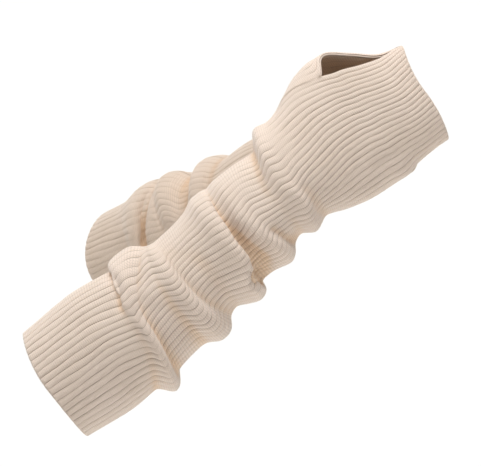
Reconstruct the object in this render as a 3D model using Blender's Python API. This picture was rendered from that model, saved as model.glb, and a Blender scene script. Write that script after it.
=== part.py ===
"""Pair of rib-knitted arm warmers in the shape they take on two raised forearms.

Each warmer is an open tube from above the elbow crook to the knuckles, pushed up so that its
slack lies in soft rolls round the forearm.  A tube is two half shells that meet along the
thumb-side seam and along the little-finger side, and the thumb hole is a part of the seam
that is left open.  Every half shell is lofted through rings.  A ring is worked out from one
row of a table, in a frame of the sleeve's own: "along" runs from the elbow edge to the hand
edge, "up" points to the thumb side, and "away" is the depth, with the front towards -Y.
Ribs are raised in the outer skin over a plain inside.  Table sizes are in millimetres.
"""

from math import cos, pi, radians, sin

import bmesh
import bpy
import numpy as np

MM = 0.001

RIBS_PER_HALF = 19
POINTS_PER_RIB = 3
RIB_HEIGHT = 0.9
FURROW_SHARE = 0.26
MIDDLE_CROWDING = 0.24
KNIT_WALL = 2.0
SEAM_GAP = 0.3
SECTION_FULLNESS = 0.88
SHARPEST_MITRE = 0.62
SECTION_SAMPLES = 181
TURN_STEP = radians(0.5)
SMALLEST_LENGTH = 1e-9

SLEEVE_PLANE_LEAN = 6.5
NEAR_SLOPE = 38.35
NEAR_HELD_ALONG = 180.0
NEAR_HELD_UP = 3.0
FAR_ELBOW_CENTRE = (-102.0, -20.0, 330.0)
FAR_HAND_CENTRE = (125.0, 86.0, 97.0)

RING_COLUMNS = (
    "top_along", "top_up",
    "front_along", "front_depth",
    "bottom_along", "bottom_up",
    "back_along", "back_depth",
    "front_seam_turn", "back_seam_turn",
)

NEAR_RINGS = {
    "elbow_edge":     (4.8, 45.3, -4.5, 32.5, -4.9, -45.1, 3.0, 32.0, 0, 0),
    "forearm":        (48.0, 46.6, 44.0, 35.0, 38.0, -50.2, 44.0, 34.0, 0, 0),
    "first_foot":     (84.5, 40.6, 74.0, 34.0, 58.0, -49.3, 72.0, 33.0, 0, 0),
    "first_under":    (82.0, 45.2, 77.5, 36.8, 63.0, -54.0, 76.0, 36.0, 0, 0),
    "first_crest":    (92.0, 48.2, 80.5, 40.0, 69.0, -60.0, 84.0, 38.5, 0, 0),
    "first_lip":      (108.0, 47.4, 84.0, 39.5, 75.0, -57.0, 92.0, 38.0, 0, 0),
    "first_tuck":     (116.0, 39.4, 84.0, 34.5, 77.5, -49.8, 95.0, 33.0, 0, 0),
    "second_foot":    (119.0, 37.4, 107.0, 34.0, 107.0, -45.0, 112.0, 32.5, 0, 0),
    "second_crest":   (121.5, 37.2, 118.5, 40.2, 121.5, -51.6, 126.0, 37.0, 0, 0),
    "second_lip":     (124.5, 37.2, 124.0, 38.8, 130.0, -50.2, 132.0, 36.0, 0, 0),
    "second_tuck":    (128.0, 37.6, 124.5, 34.0, 136.5, -41.0, 134.0, 32.5, 0, 0),
    "third_foot":     (147.0, 39.2, 142.0, 33.5, 145.0, -38.2, 147.0, 32.0, 0, 0),
    "third_rise":     (158.0, 41.6, 157.0, 38.0, 154.0, -42.4, 158.0, 35.5, 0, 0),
    "third_crest":    (169.0, 46.4, 169.5, 43.4, 163.0, -45.6, 167.0, 38.0, 0, 0),
    "third_lip":      (176.5, 46.4, 176.5, 41.0, 170.5, -41.8, 173.5, 36.5, 0, 0),
    "third_tuck":     (181.5, 44.4, 174.5, 33.5, 171.5, -34.0, 174.5, 32.0, 0, 0),
    "fourth_foot":    (185.0, 45.2, 180.0, 30.5, 179.0, -35.0, 181.0, 31.0, 0, 0),
    "fourth_crest":   (193.0, 47.0, 189.0, 38.5, 191.0, -38.4, 190.0, 35.0, 0, 0),
    "fourth_lip":     (209.0, 46.2, 199.0, 38.5, 202.5, -36.0, 199.0, 34.5, 0, 0),
    "fourth_tuck":    (221.5, 45.0, 202.0, 32.5, 208.5, -27.0, 203.0, 30.0, 0, 0),
    "wrist_foot":     (227.0, 44.4, 215.0, 30.0, 217.0, -25.0, 214.0, 28.5, 0, 0),
    "wrist_crest":    (239.0, 58.6, 230.0, 35.8, 228.0, -31.0, 231.0, 32.0, 0, 0),
    "wrist_lip":      (249.0, 56.2, 236.0, 33.5, 235.0, -28.4, 240.0, 29.0, 4, 4),
    "wrist_tuck":     (256.0, 57.2, 243.0, 29.5, 241.0, -26.0, 250.0, 26.0, 8, 8),
    "thumb_base":     (271.0, 63.6, 265.0, 27.5, 258.0, -32.4, 268.0, 25.0, 20, 20),
    "thumb_root":     (287.0, 70.2, 285.0, 25.5, 278.0, -37.6, 285.0, 24.0, 33, 33),
    "hole_corner":    (302.0, 72.4, 302.5, 24.0, 299.0, -39.6, 302.0, 23.0, 42, 42),
    "hole_wide":      (314.5, 71.0, 313.5, 23.4, 309.5, -40.4, 313.0, 22.6, 47, 8),
    "hole_middle":    (331.0, 58.5, 327.5, 22.8, 322.0, -38.0, 327.0, 22.2, 42, 9),
    "hole_end":       (349.0, 43.5, 343.0, 21.8, 337.0, -37.6, 343.0, 21.6, 14, 14),
    "hand_edge":      (365.5, 38.4, 356.5, 20.8, 349.8, -38.2, 357.0, 20.8, 0, 0),
}

FAR_RINGS = {
    "elbow_edge":     (8.0, 40.4, -9.0, 34.0, -16.0, -44.0, 0.0, 33.0, 0, 0),
    "forearm":        (37.0, 40.6, 24.0, 35.0, 14.0, -45.5, 26.0, 34.0, 0, 0),
    "first_foot":     (47.0, 42.8, 45.0, 35.5, 34.0, -47.0, 43.0, 35.0, 0, 0),
    "first_crest":    (65.0, 47.2, 58.5, 41.0, 50.0, -52.0, 58.0, 39.0, 0, 0),
    "first_lip":      (71.5, 46.6, 65.0, 40.0, 58.0, -50.0, 66.0, 37.5, 0, 0),
    "first_tuck":     (74.5, 44.4, 65.0, 35.0, 61.0, -44.0, 69.0, 33.5, 0, 0),
    "second_crest":   (77.5, 45.4, 77.0, 38.5, 74.0, -47.5, 80.0, 37.0, 0, 0),
    "second_lip":     (80.5, 44.6, 91.0, 38.0, 90.0, -46.0, 90.0, 35.5, 0, 0),
    "second_tuck":    (82.5, 43.0, 91.0, 33.0, 95.0, -40.5, 93.0, 31.5, 0, 0),
    "third_crest":    (93.0, 47.2, 103.0, 37.0, 108.0, -45.0, 106.0, 36.5, 0, 0),
    "third_lip":      (107.5, 43.6, 111.0, 36.0, 118.0, -43.5, 115.0, 35.0, 0, 0),
    "third_tuck":     (116.0, 33.0, 113.0, 31.0, 122.0, -37.5, 119.0, 30.5, 0, 0),
    "fourth_foot":    (125.5, 32.8, 122.0, 30.5, 131.0, -36.5, 128.0, 30.0, 0, 0),
    "fourth_crest":   (142.0, 43.8, 138.0, 36.5, 145.0, -41.0, 141.0, 34.5, 0, 0),
    "fourth_lip":     (154.0, 41.4, 149.0, 35.0, 155.0, -38.5, 151.0, 32.5, 0, 0),
    "fourth_tuck":    (160.5, 36.4, 153.0, 30.5, 160.0, -33.5, 156.0, 29.0, 0, 0),
    "wrist":          (195.0, 40.4, 190.0, 28.5, 192.0, -29.0, 190.0, 27.0, 0, 0),
    "wrist_tuck":     (226.0, 38.0, 222.0, 26.5, 224.0, -26.5, 222.0, 26.0, -4, -4),
    "thumb_base":     (262.0, 46.0, 258.0, 25.0, 252.0, -33.0, 258.0, 25.0, -18, -18),
    "hole_corner":    (288.0, 52.0, 287.0, 23.5, 280.0, -38.0, 287.0, 23.5, -38, -38),
    "hole_wide":      (300.0, 52.0, 299.0, 23.0, 292.0, -38.5, 299.0, 23.0, -8, -46),
    "hole_middle":    (315.0, 47.5, 313.0, 22.5, 306.0, -38.0, 313.0, 22.5, -9, -42),
    "hole_end":       (330.0, 41.5, 327.0, 21.8, 322.0, -37.5, 326.0, 21.8, -12, -12),
    "hand_edge":      (345.0, 38.4, 342.0, 20.8, 334.0, -38.0, 341.0, 20.8, 0, 0),
}

WOOL_COLOUR = (0.72, 0.60, 0.49, 1.0)
WOOL_ROUGHNESS = 0.9
COLLECTION_NAME = "arm_warmers"


def clear_scene():
    """Remove whatever the scene holds, so that the script always starts from nothing."""
    for old in list(bpy.data.objects):
        bpy.data.objects.remove(old, do_unlink=True)


def unit(vectors):
    """Scale vectors to a length of one along their last axis, and leave a zero vector at zero."""
    length = np.linalg.norm(vectors, axis=-1, keepdims=True)
    return vectors / np.maximum(length, SMALLEST_LENGTH)


def column(rings, name):
    """Give one named column of the rings, one value for each ring."""
    return rings[:, RING_COLUMNS.index(name)]


def ring_points(rings, turn):
    """Points of every ring at the given turns, in the sleeve's frame (along, up, away).

    A turn is an angle round the section: 0 on the thumb side, 90 degrees at the front, 180 on
    the little-finger side.  "Up" swings between the ring's top and bottom as the cosine does.
    The depth follows a power of the sine, which makes the section a little squarer than an
    ellipse.  "Along" is blended from the four sides by the squares of the sine and the cosine.
    """
    def side(name):
        return column(rings, name)[:, None]

    to_top = np.maximum(np.cos(turn), 0.0)
    to_bottom = np.maximum(-np.cos(turn), 0.0)
    to_front = np.maximum(np.sin(turn), 0.0)
    to_back = np.maximum(-np.sin(turn), 0.0)
    along = (side("top_along") * to_top**2 + side("bottom_along") * to_bottom**2
             + side("front_along") * to_front**2 + side("back_along") * to_back**2)
    middle = (side("top_up") + side("bottom_up")) / 2
    reach = (side("top_up") - side("bottom_up")) / 2
    up = middle + reach * np.cos(turn)
    away = (side("back_depth") * to_back**SECTION_FULLNESS
            - side("front_depth") * to_front**SECTION_FULLNESS)
    return np.stack([along, up, away], axis=-1)


def outward(rings, turn):
    """Directions out of the cloth at the given turns, lengthened at the corners of a fold.

    The direction is square to the ring and to the bisector of the cloth's run before and after
    the ring.  It is longer where the cloth bends, as the corner of a mitred frame is, so that
    a skin moved along it keeps its distance.
    """
    points = ring_points(rings, turn)
    before = unit(points - ring_points(np.vstack([rings[:1], rings[:-1]]), turn))
    after = unit(ring_points(np.vstack([rings[1:], rings[-1:]]), turn) - points)
    bisector = before + after
    mitre = np.maximum(np.linalg.norm(bisector, axis=-1, keepdims=True) / 2, SHARPEST_MITRE)
    mitre[[0, -1]] = 1.0
    round_ring = ring_points(rings, turn + TURN_STEP) - ring_points(rings, turn - TURN_STEP)
    return unit(np.cross(unit(bisector), unit(round_ring))) / mitre


def rib_crowding(rings):
    """How much closer the ribs lie at the middle of each ring's half than they would if even.

    It rises from nothing at either mouth, as a half sine, to its most where the slack lies.
    """
    sides = [RING_COLUMNS.index(name) for name in RING_COLUMNS if name.endswith("_along")]
    reached = rings[:, sides].mean(axis=1)
    return MIDDLE_CROWDING * np.sin(pi * (reached - reached[0]) / (reached[-1] - reached[0]))


def turns_at(rings, start, end, shares):
    """Turns that lie at the given shares of each ring's length between two turns.

    The length is measured on the section, and half a seam gap is left out at either end.
    Where ribs crowd together, each share is moved towards a half by a sine of itself.
    """
    crowding = rib_crowding(rings)
    turns = []
    sweep = np.linspace(0.0, 1.0, SECTION_SAMPLES)
    fine = start[:, None] + (end - start)[:, None] * sweep
    points = ring_points(rings, fine)[..., 1:]
    steps = np.linalg.norm(np.diff(points, axis=1), axis=-1)
    for ring, lengths in enumerate(steps):
        length = np.concatenate([[0.0], np.cumsum(lengths)])
        crowded = shares + crowding[ring] * np.sin(2 * pi * shares) / (2 * pi)
        wanted = SEAM_GAP / 2 + (length[-1] - SEAM_GAP) * crowded
        turns.append(np.interp(wanted, length, fine[ring]))
    return np.array(turns)


def rib_shares():
    """Shares of a half ring at which its outer points lie, and which of them are raised.

    A furrow lies at either end and between two ribs, and a rib has a raised point at each of
    its two shoulders.
    """
    shares = [0.0]
    raised = [False]
    for rib in range(RIBS_PER_HALF):
        shares += [rib + FURROW_SHARE / 2, rib + 1 - FURROW_SHARE / 2, rib + 1]
        raised += [True, True, False]
    return np.array(shares) / RIBS_PER_HALF, np.array(raised)


def half_shell(name, rings, start, end, place):
    """Make one half of a sleeve as a closed wall between a ribbed outside and a plain inside."""
    shares, raised = rib_shares()
    outer_turn = turns_at(rings, start, end, shares)
    outer = ring_points(rings, outer_turn)
    outer += outward(rings, outer_turn) * np.where(raised, RIB_HEIGHT, 0.0)[None, :, None]
    inner_turn = outer_turn[:, ~raised]
    inner = ring_points(rings, inner_turn) - outward(rings, inner_turn) * KNIT_WALL

    mesh = bmesh.new()
    outside = [[mesh.verts.new(place(point)) for point in ring] for ring in outer]
    inside = [[mesh.verts.new(place(point)) for point in ring] for ring in inner]
    weave_skin(mesh, outside)
    weave_skin(mesh, inside)
    for ring in range(len(outside) - 1):
        for edge in (0, -1):
            mesh.faces.new((outside[ring][edge], outside[ring + 1][edge],
                            inside[ring + 1][edge], inside[ring][edge]))
    for ring in (0, -1):
        close_mouth(mesh, outside[ring], inside[ring])
    bmesh.ops.recalc_face_normals(mesh, faces=mesh.faces)
    data = bpy.data.meshes.new(name)
    mesh.to_mesh(data)
    mesh.free()
    shell = bpy.data.objects.new(name, data)
    shell.data.materials.append(wool(name))
    return shell


def weave_skin(mesh, skin):
    """Join neighbouring rings of one skin with four-sided faces."""
    for near, far in zip(skin, skin[1:]):
        for left in range(len(near) - 1):
            mesh.faces.new((near[left], near[left + 1], far[left + 1], far[left]))


def close_mouth(mesh, outside, inside):
    """Fill the rim of a mouth, one face for the body of the wall and one for the rib on it."""
    for rib in range(RIBS_PER_HALF):
        corner = rib * POINTS_PER_RIB
        mesh.faces.new(outside[corner:corner + POINTS_PER_RIB + 1])
        mesh.faces.new((outside[corner], outside[corner + POINTS_PER_RIB], inside[rib + 1], inside[rib]))


def wool(name):
    """Undyed cream wool for one piece."""
    material = bpy.data.materials.new(name + "_wool")
    material.use_nodes = True
    shader = material.node_tree.nodes["Principled BSDF"]
    shader.inputs["Base Color"].default_value = WOOL_COLOUR
    shader.inputs["Roughness"].default_value = WOOL_ROUGHNESS
    shader.inputs["Metallic"].default_value = 0.0
    return material


def leaning_axes():
    """The right, up and away directions of the plane that the near sleeve lies in."""
    lean = radians(SLEEVE_PLANE_LEAN)
    right = np.array([1.0, 0.0, 0.0])
    up = np.array([0.0, sin(lean), cos(lean)])
    away = np.array([0.0, cos(lean), -sin(lean)])
    return right, up, away


def near_place():
    """Placing of the near sleeve: sloping up to the right, held at the world's origin."""
    right, up, away = leaning_axes()
    slope = radians(NEAR_SLOPE)
    along = cos(slope) * right + sin(slope) * up
    thumbward = cos(slope) * up - sin(slope) * right
    start = -(NEAR_HELD_ALONG * along + NEAR_HELD_UP * thumbward)
    return placing(start, along, thumbward, away)


def far_place():
    """Placing of the far sleeve, whose hand end comes forward to meet the near hand."""
    frame = np.array(leaning_axes())
    start = np.array(FAR_ELBOW_CENTRE) @ frame
    hand = np.array(FAR_HAND_CENTRE) @ frame
    along = unit(hand - start)
    thumbward = unit(np.cross(frame[2], along))
    thumbward = thumbward * np.sign(thumbward[2])
    across = unit(np.cross(along, thumbward))
    across = across * np.sign(across @ frame[2])
    return placing(start, along, thumbward, across)


def placing(start, along, thumbward, across):
    """Give a function that moves a point of the sleeve's frame into the world, in metres."""
    def place(point):
        return tuple((start + point[0] * along + point[1] * thumbward + point[2] * across) * MM)
    return place


def build_sleeve(table, place, front_name, back_name):
    """Make the two halves of a sleeve, split at the thumb seam and the little-finger side."""
    rings = np.array(list(table.values()), dtype=float)
    half_way = np.full(len(rings), radians(180.0))
    front_start = np.radians(column(rings, "front_seam_turn"))
    back_end = np.radians(360.0 + column(rings, "back_seam_turn"))
    front = half_shell(front_name, rings, front_start, half_way, place)
    back = half_shell(back_name, rings, half_way, back_end, place)
    return [front, back]


clear_scene()
garment = bpy.data.collections.new(COLLECTION_NAME)
bpy.context.scene.collection.children.link(garment)
pieces = build_sleeve(NEAR_RINGS, near_place(), "near_outer_half", "near_palm_half")
pieces += build_sleeve(FAR_RINGS, far_place(), "far_palm_half", "far_outer_half")
for piece in pieces:
    garment.objects.link(piece)
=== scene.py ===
from math import cos, radians, sin

import bpy
import numpy as np
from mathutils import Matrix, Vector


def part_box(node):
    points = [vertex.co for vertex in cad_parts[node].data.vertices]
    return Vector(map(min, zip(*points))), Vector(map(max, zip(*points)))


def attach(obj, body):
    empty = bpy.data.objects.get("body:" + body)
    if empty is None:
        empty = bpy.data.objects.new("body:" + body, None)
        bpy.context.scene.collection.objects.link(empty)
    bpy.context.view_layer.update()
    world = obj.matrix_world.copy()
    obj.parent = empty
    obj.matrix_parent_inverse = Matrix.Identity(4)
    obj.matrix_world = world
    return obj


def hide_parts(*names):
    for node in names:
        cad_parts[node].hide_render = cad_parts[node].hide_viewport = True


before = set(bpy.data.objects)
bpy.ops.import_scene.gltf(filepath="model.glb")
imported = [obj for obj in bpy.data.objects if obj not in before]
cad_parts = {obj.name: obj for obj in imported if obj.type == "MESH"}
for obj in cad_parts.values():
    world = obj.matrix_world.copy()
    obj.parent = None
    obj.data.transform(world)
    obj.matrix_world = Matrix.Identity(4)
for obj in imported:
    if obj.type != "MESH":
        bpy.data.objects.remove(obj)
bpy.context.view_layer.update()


# Near warmer, back-of-hand half.
# One half of a tube of merino rib, knitted on a flat machine and linked along the thumb side.
# Its slack is pushed back, so it lies in soft rolls, and the end with the thumb hole is smooth.

WALES_PER_RIB = 3
NEAR_RIBS = 24
COURSE_HEIGHT = 1.5
KNIT_WALL = 2.0
RIB_HEIGHT = 0.85
MIDDLE_CROWDING = 0.12
DROP_SHARE = 1.0 / 19.0
SECTION_FULLNESS = 0.88
NEAR_ROWS = 470
FOLD_SOFTNESS = 7
FOLD_REACH = 120
BEND_ROWS = 9
SIDE_FADE = 0.06
SMOOTH_END_START = 255.0
SMOOTH_END_FULL = 290.0
SMOOTH_END_HOLD = 0.6
FURROW_DEPTH = 0.82
CREST_FLATTENING = 0.25
PLANE_LEAN = radians(6.5)
RIGHT = np.array([1.0, 0.0, 0.0])
UP = np.array([0.0, sin(PLANE_LEAN), cos(PLANE_LEAN)])
AWAY = np.array([0.0, cos(PLANE_LEAN), -sin(PLANE_LEAN)])

COLUMNS = ("top_along", "top_up", "front_along", "front_depth", "bottom_along", "bottom_up",
           "back_along", "back_depth", "front_seam_turn", "back_seam_turn", "front_drop", "back_drop")

NEAR_RINGS = {
    "elbow_edge":   (4.8, 45.3, -4.5, 32.5, -4.9, -45.1, 3.0, 32.0, 0, 0, 0, 0),
    "forearm":      (48.0, 46.6, 44.0, 35.0, 38.0, -50.2, 44.0, 34.0, 0, 0, 0.1, 0),
    "first_foot":   (88.5, 40.6, 74.0, 36.4, 58.0, -49.3, 72.0, 33.0, 0, 0, 0.7, 0.3),
    "first_under":  (87.0, 45.2, 77.5, 37.8, 63.0, -54.0, 76.0, 36.0, 0, 0, 0.9, 0.6),
    "first_crest":  (95.0, 48.2, 80.5, 38.8, 69.0, -60.0, 84.0, 38.5, 0, 0, 1.1, 0.8),
    "first_lip":    (108.0, 47.4, 84.0, 38.2, 75.0, -57.0, 92.0, 38.0, 0, 0, 1.0, 0.8),
    "first_tuck":   (116.0, 39.4, 86.0, 36.0, 77.5, -49.8, 95.0, 33.0, 0, 0, 0.6, 0.2),
    "second_foot":  (119.0, 37.4, 107.0, 34.0, 107.0, -45.0, 112.0, 32.5, 0, 0, 0.1, 0),
    "second_crest": (121.5, 37.2, 118.5, 39.6, 121.5, -51.6, 126.0, 37.0, 0, 0, 0.5, -0.4),
    "second_lip":   (124.5, 37.2, 124.0, 38.6, 130.0, -50.2, 132.0, 36.0, 0, 0, 0.5, -0.6),
    "second_tuck":  (128.0, 37.6, 126.5, 35.6, 136.5, -41.0, 134.0, 32.5, 0, 0, 0.1, -0.1),
    "third_foot":   (147.0, 39.2, 142.0, 35.2, 145.0, -38.2, 147.0, 32.0, 0, 0, 0, 0.1),
    "third_rise":   (158.0, 41.6, 157.0, 38.4, 154.0, -42.4, 158.0, 35.5, 0, 0, 0.1, 0.4),
    "third_crest":  (169.0, 46.4, 169.5, 43.4, 163.0, -45.6, 167.0, 38.0, 0, 0, 0.5, 0.6),
    "third_lip":    (176.5, 46.4, 176.5, 41.0, 170.5, -41.8, 173.5, 36.5, 0, 0, 0.8, 0.7),
    "third_tuck":   (181.5, 44.8, 174.5, 33.4, 171.5, -34.6, 174.5, 32.0, 0, 0, 1.2, 0.5),
    "fourth_foot":  (183.5, 45.4, 178.5, 33.2, 181.0, -34.0, 181.0, 31.0, 0, 0, 1.2, 0),
    "fourth_crest": (191.0, 46.6, 192.0, 37.8, 198.0, -37.6, 190.0, 35.0, 0, 0, 0.4, -0.4),
    "fourth_lip":   (206.0, 46.4, 199.0, 37.2, 204.0, -34.5, 199.0, 34.5, 0, 0, 0.2, -0.5),
    "fourth_tuck":  (221.5, 45.0, 211.0, 35.2, 210.0, -27.6, 203.0, 30.0, 0, 0, 1.0, 0.2),
    "wrist_foot":   (227.0, 44.4, 218.0, 34.0, 217.0, -25.0, 214.0, 28.5, 0, 0, 1.4, 0.5),
    "wrist_crest":  (239.0, 58.6, 229.0, 35.0, 228.0, -31.0, 231.0, 32.0, 0, 0, 1.9, 0.6),
    "wrist_lip":    (249.0, 56.2, 237.0, 33.4, 235.0, -28.4, 240.0, 29.0, 0, 0, 2.2, 0.6),
    "wrist_tuck":   (256.0, 57.2, 246.0, 31.0, 241.0, -26.0, 250.0, 26.0, 2, 2, 1.9, 0.5),
    "thumb_base":   (271.0, 63.6, 265.0, 27.5, 258.0, -32.4, 268.0, 25.0, 12, 12, 0.9, 0.3),
    "thumb_root":   (287.0, 70.2, 285.0, 25.5, 278.0, -37.6, 285.0, 24.0, 31, 31, -0.3, 0.1),
    "hole_corner":  (302.0, 72.4, 302.5, 24.0, 299.0, -39.6, 302.0, 23.0, 42, 42, -0.6, 0),
    "hole_wide":    (314.5, 71.0, 313.5, 23.2, 309.5, -40.4, 313.0, 22.6, 47, 8, -0.6, 0),
    "hole_middle":  (331.0, 58.5, 327.5, 21.8, 322.0, -38.0, 327.0, 22.2, 40, 9, -0.3, 0),
    "hole_end":     (349.0, 43.5, 343.0, 19.8, 337.0, -37.6, 343.0, 21.6, 20, 12, 0, 0),
    "hand_edge":    (365.5, 38.4, 356.5, 17.8, 349.8, -38.2, 357.0, 20.8, 0, 0, 0.1, 0),
}
NEAR_SLOPE = radians(38.35)
NEAR_HELD_ALONG = 180.0
NEAR_HELD_UP = 3.0


def unit(vectors):
    """Each vector divided by its length, along the last axis."""
    length = np.linalg.norm(vectors, axis=-1, keepdims=True)
    return vectors / np.maximum(length, 1e-9)


def smooth_rings(table, rows):
    """Rows of ring values spaced evenly along the cloth, by monotone cubic curves.

    Each column runs through its table values on a piecewise cubic whose slope at a ring is the
    weighted harmonic mean of the slopes on either side, and zero where the column turns back.
    The parameter between two rings grows by the square root of their mean distance.
    """
    rings = np.array(list(table.values()), dtype=float)
    sides = [COLUMNS.index(name) for name in ("top_along", "front_along", "bottom_along", "back_along")]
    depths = [side + 1 for side in sides]
    moved = np.hypot(np.diff(rings[:, sides], axis=0), np.diff(rings[:, depths], axis=0)).mean(axis=1)
    knots = np.concatenate([[0.0], np.cumsum(np.sqrt(moved))])
    width = np.diff(knots)[:, None]
    slope = np.diff(rings, axis=0) / width
    before, after = slope[:-1], slope[1:]
    weight_before = width[:-1] + 2 * width[1:]
    weight_after = 2 * width[:-1] + width[1:]
    same_way = before * after > 0
    safe_before = np.where(same_way, before, 1.0)
    safe_after = np.where(same_way, after, 1.0)
    mean = (weight_before + weight_after) / (weight_before / safe_before + weight_after / safe_after)
    inner = np.where(same_way, mean, 0.0)
    tangent = np.vstack([slope[:1], inner, slope[-1:]])

    def at(place):
        span = np.clip(np.searchsorted(knots, place, side="right") - 1, 0, len(knots) - 2)
        reach = width[span]
        share = ((place - knots[span]) / reach[:, 0])[:, None]
        left, right = rings[span], rings[span + 1]
        return (left * (1 + 2 * share) * (1 - share)**2 + tangent[span] * reach * share * (1 - share)**2
                + right * share**2 * (3 - 2 * share) + tangent[span + 1] * reach * share**2 * (share - 1))

    fine = at(np.linspace(0.0, knots[-1], rows * 6))
    steps = np.hypot(np.diff(fine[:, sides], axis=0), np.diff(fine[:, depths], axis=0)).mean(axis=1)
    run = np.concatenate([[0.0], np.cumsum(steps)])
    wanted = np.interp(np.linspace(0.0, run[-1], rows), run, np.linspace(0.0, knots[-1], rows * 6))
    return at(wanted), np.linspace(0.0, run[-1], rows)


def side_of(rings, name):
    """One named column of the rings, as a column that spreads over turns."""
    return rings[:, COLUMNS.index(name)][:, None]


def section_points(rings, turn):
    """Points of the rings at the given turns, as (along, up, away) in millimetres.

    "Up" swings between top and bottom as the cosine of the turn, "away" follows the sine raised
    to the power SECTION_FULLNESS, and "along" blends its four sides by the squares of both.
    """
    to_top = np.maximum(np.cos(turn), 0.0)
    to_bottom = np.maximum(-np.cos(turn), 0.0)
    to_front = np.maximum(np.sin(turn), 0.0)
    to_back = np.maximum(-np.sin(turn), 0.0)
    along = (side_of(rings, "top_along") * to_top**2 + side_of(rings, "bottom_along") * to_bottom**2
             + side_of(rings, "front_along") * to_front**2 + side_of(rings, "back_along") * to_back**2)
    middle = (side_of(rings, "top_up") + side_of(rings, "bottom_up")) / 2
    reach = (side_of(rings, "top_up") - side_of(rings, "bottom_up")) / 2
    away = (side_of(rings, "back_depth") * to_back**SECTION_FULLNESS
            - side_of(rings, "front_depth") * to_front**SECTION_FULLNESS)
    return np.stack([along, middle + reach * np.cos(turn), away], axis=-1)


def turns_for(rings, start, end, shares):
    """Turns that lie at equal shares of each section's own length between its two edges."""
    sweep = np.linspace(0.0, 1.0, 181)
    fine = start[:, None] + (end - start)[:, None] * sweep
    lengths = np.linalg.norm(np.diff(section_points(rings, fine)[..., 1:], axis=1), axis=-1)
    run = np.concatenate([np.zeros((len(rings), 1)), np.cumsum(lengths, axis=1)], axis=1)
    rows = [np.interp(shares * run[k, -1], run[k], fine[k]) for k in range(len(rings))]
    return np.array(rows)


def surface_normals(points):
    """Unit normals of a grid: the cross product of its two central differences."""
    along = np.gradient(points, axis=0)
    around = np.gradient(points, axis=1)
    return unit(np.cross(along, around))


RIB_SAMPLES = (0.0, 0.06, 0.14, 0.5, 0.86, 0.94)


def rib_profile(rib_share):
    """Height of the cloth across one rib, from 0 in the furrow to 1 on the flat of the rib.

    It is one minus a narrow bell at either furrow, less a slight crown's fall to the shoulders.
    """
    to_furrow = np.minimum(rib_share, 1.0 - rib_share)
    bell = np.exp(-(to_furrow / 0.07)**2)
    return (1.0 - bell) * (1.0 - 0.07 * (1.0 - 2.0 * to_furrow)**2)


def place_points(points, sleeve):
    """Points of a sleeve's own frame in the world, in metres."""
    start, along, thumbward, across = sleeve
    world = start + points[..., :1] * along + points[..., 1:2] * thumbward + points[..., 2:] * across
    return world * 0.001


def near_sleeve():
    """Start, along, thumbward and depth directions of the near sleeve."""
    along = cos(NEAR_SLOPE) * RIGHT + sin(NEAR_SLOPE) * UP
    thumbward = cos(NEAR_SLOPE) * UP - sin(NEAR_SLOPE) * RIGHT
    return -(NEAR_HELD_ALONG * along + NEAR_HELD_UP * thumbward), along, thumbward, AWAY


def smooth_step(value, low, high):
    """A soft rise from 0 at the low value to 1 at the high one."""
    share = np.clip((value - low) / (high - low), 0.0, 1.0)
    return share * share * (3.0 - 2.0 * share)


def crease_relief(points, creases):
    """Sum of listed troughs and ridges, in millimetres.

    Each row is a line of (along, up) places, its half widths on the elbow side and the hand
    side, and its height, which is below zero for a trough.  The relief is a bell across the
    line, and it fades over the first and the last quarter of the line.
    """
    relief = np.zeros(points.shape[:2])
    for line, elbow_width, hand_width, height in creases:
        places = np.array(line, dtype=float)
        steps = np.linalg.norm(np.diff(places, axis=0), axis=1)
        reached = np.concatenate([[0.0], np.cumsum(steps)])
        nearest = np.full(relief.shape, np.inf)
        side = np.zeros(relief.shape)
        share = np.zeros(relief.shape)
        for span in range(len(steps)):
            step = places[span + 1] - places[span]
            offset = points[..., :2] - places[span]
            part = np.clip((offset @ step) / (step @ step), 0.0, 1.0)
            gap = offset - part[..., None] * step
            distance = np.linalg.norm(gap, axis=-1)
            closer = distance < nearest
            nearest = np.where(closer, distance, nearest)
            side = np.where(closer, gap[..., 0], side)
            share = np.where(closer, (reached[span] + part * steps[span]) / reached[-1], share)
        fade = smooth_step(np.minimum(share, 1.0 - share), -0.08, 0.25)
        width = np.where(side < 0.0, elbow_width, hand_width)
        relief += height * np.exp(-(nearest / width)**2) * fade
    return relief


def bend_along(form, normals):
    """How sharply the form bends along the cloth, per millimetre: above zero on a crest.

    It is the second difference of the points over the squared step, against the outward normal,
    averaged over BEND_ROWS rows.
    """
    step = np.linalg.norm(np.diff(form, axis=0), axis=-1)
    step = (step[1:] + step[:-1]) / 2
    second = form[2:] - 2 * form[1:-1] + form[:-2]
    bend = -(second * normals[1:-1]).sum(axis=-1) / np.maximum(step, 0.2)**2
    margin = BEND_ROWS // 2 + 1
    bend = np.pad(bend, ((margin, margin), (0, 0)), mode="edge")
    return np.mean([bend[k:k + len(form)] for k in range(BEND_ROWS)], axis=0)


def softened(form, passes):
    """The grid averaged along the cloth with weights 1, 2, 1 as often as asked, its ends kept."""
    for _ in range(passes):
        form = np.concatenate([form[:1], (form[:-2] + 2 * form[1:-1] + form[2:]) / 4, form[-1:]])
    return form


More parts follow.
